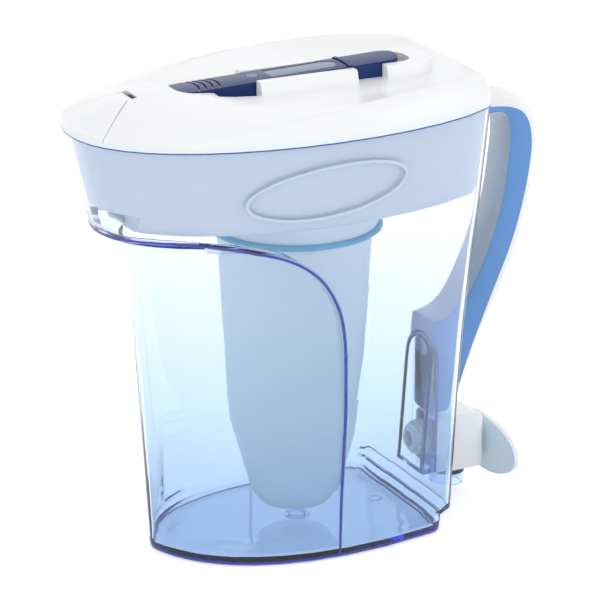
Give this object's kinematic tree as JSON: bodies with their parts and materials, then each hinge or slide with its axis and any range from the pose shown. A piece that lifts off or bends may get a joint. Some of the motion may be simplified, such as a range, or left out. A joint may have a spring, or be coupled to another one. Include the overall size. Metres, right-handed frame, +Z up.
{
  "type": "water filter pitcher with flip lid",
  "caption": "Clear blue water filter pitcher with a flip spout cover in a white lid, a lift-out reservoir and filter, a stowed water meter, a hollow handle and a push-paddle tap at the rear.",
  "frame": {"origin": "on the resting face of the base, in the pitcher's middle plane, 83 mm behind the nose of the base", "axes": "+Z up, -X towards the pouring spout, +X towards the handle and tap, Y across the pitcher"},
  "size_m": [0.2779, 0.1498, 0.2668],
  "materials": {
    "clear_blue_plastic": "clear light-blue tint, glossy, deep blue at cut edges",
    "clear_handle_plastic": "clear blue tint, glossy",
    "white_gloss_plastic": "white, glossy",
    "milky_white_plastic": "translucent white, satin",
    "filter_white_plastic": "white, satin",
    "turquoise_plastic": "turquoise, satin",
    "soft_seal": "pale silicone",
    "pale_blue_plastic": "pale blue, satin",
    "foam": "open foam",
    "carbon_granules": "black granules",
    "resin_beads": "amber beads",
    "fleece": "white felt",
    "navy_plastic": "navy, satin gloss",
    "smoked_window": "grey-blue tinted, glossy",
    "display_panel": "grey liquid-crystal panel",
    "circuit_board": "green lacquer",
    "polished_steel": "polished",
    "button_rubber": "soft blue-grey",
    "clear_nozzle_plastic": "clear blue, glossy",
    "dark_seal": "dark rubber",
    "spring_steel": "bright wire"
  },
  "bodies": {
    "pitcher": {"pitcher_body": "clear_blue_plastic", "handle_frame": "clear_handle_plastic", "handle_cover": "white_gloss_plastic", "tap_housing": "white_gloss_plastic", "tap_shank": "white_gloss_plastic", "tap_nut": "white_gloss_plastic", "tap_inner_washer": "soft_seal", "tap_outer_washer": "soft_seal", "tap_nozzle": "clear_nozzle_plastic", "tap_spring": "spring_steel", "tap_rod_seal": "dark_seal", "tap_end_bush": "white_gloss_plastic"},
    "reservoir": {"reservoir": "milky_white_plastic"},
    "filter": {"filter_shell": "filter_white_plastic", "filter_cup": "filter_white_plastic", "filter_ring": "turquoise_plastic", "filter_gasket": "soft_seal", "filter_inlet_screen": "pale_blue_plastic", "filter_foam": "foam", "filter_carbon": "carbon_granules", "filter_resin": "resin_beads", "filter_fleece": "fleece"},
    "lid": {"lid": "white_gloss_plastic"},
    "spout_cover": {"spout_flap": "white_gloss_plastic", "flap_hinge_pin": "polished_steel"},
    "meter": {"meter_case_lower": "navy_plastic", "meter_case_upper": "navy_plastic", "meter_window": "smoked_window", "meter_display": "display_panel", "meter_board": "circuit_board", "meter_cells": "polished_steel", "meter_cell_cover": "navy_plastic", "meter_probes": "polished_steel"},
    "meter_button": {"meter_button": "button_rubber"},
    "meter_cap": {"meter_cap": "navy_plastic"},
    "paddle": {"tap_paddle": "white_gloss_plastic", "tap_plunger": "white_gloss_plastic", "tap_valve_seal": "dark_seal"}
  },
  "joints": [
    {"name": "reservoir_lift", "type": "slide", "parent": "pitcher", "child": "reservoir", "axis": [0, 0, 1], "range_m": [0, 0.24]},
    {"name": "filter_unscrew", "type": "hinge", "parent": "reservoir", "child": "filter", "pos_m": [0.0075, 0, 0.18], "axis": [0, 0, -1], "range_deg": [0, 360]},
    {"name": "lid_lift", "type": "slide", "parent": "reservoir", "child": "lid", "axis": [0, 0, 1], "range_m": [0, 0.06]},
    {"name": "spout_cover_flip", "type": "hinge", "parent": "lid", "child": "spout_cover", "pos_m": [-0.0915, 0, 0.2606], "axis": [0, 1, 0], "range_deg": [0, 75]},
    {"name": "meter_lift", "type": "slide", "parent": "lid", "child": "meter", "axis": [-0.0279, 0, 0.9996], "range_m": [0, 0.03]},
    {"name": "meter_button_press", "type": "slide", "parent": "meter", "child": "meter_button", "axis": [0.0279, 0, -0.9996], "range_m": [0, 0.0005], "stiffness_N_per_m": 400},
    {"name": "meter_cap_pull", "type": "slide", "parent": "meter", "child": "meter_cap", "axis": [0.9996, 0, 0.0279], "range_m": [0, 0.0065]},
    {"name": "paddle_push", "type": "slide", "parent": "pitcher", "child": "paddle", "axis": [-1, 0, 0], "range_m": [0, 0.0025], "stiffness_N_per_m": 800, "springref_m": -0.002, "deforming": ["tap_spring"]}
  ]
}
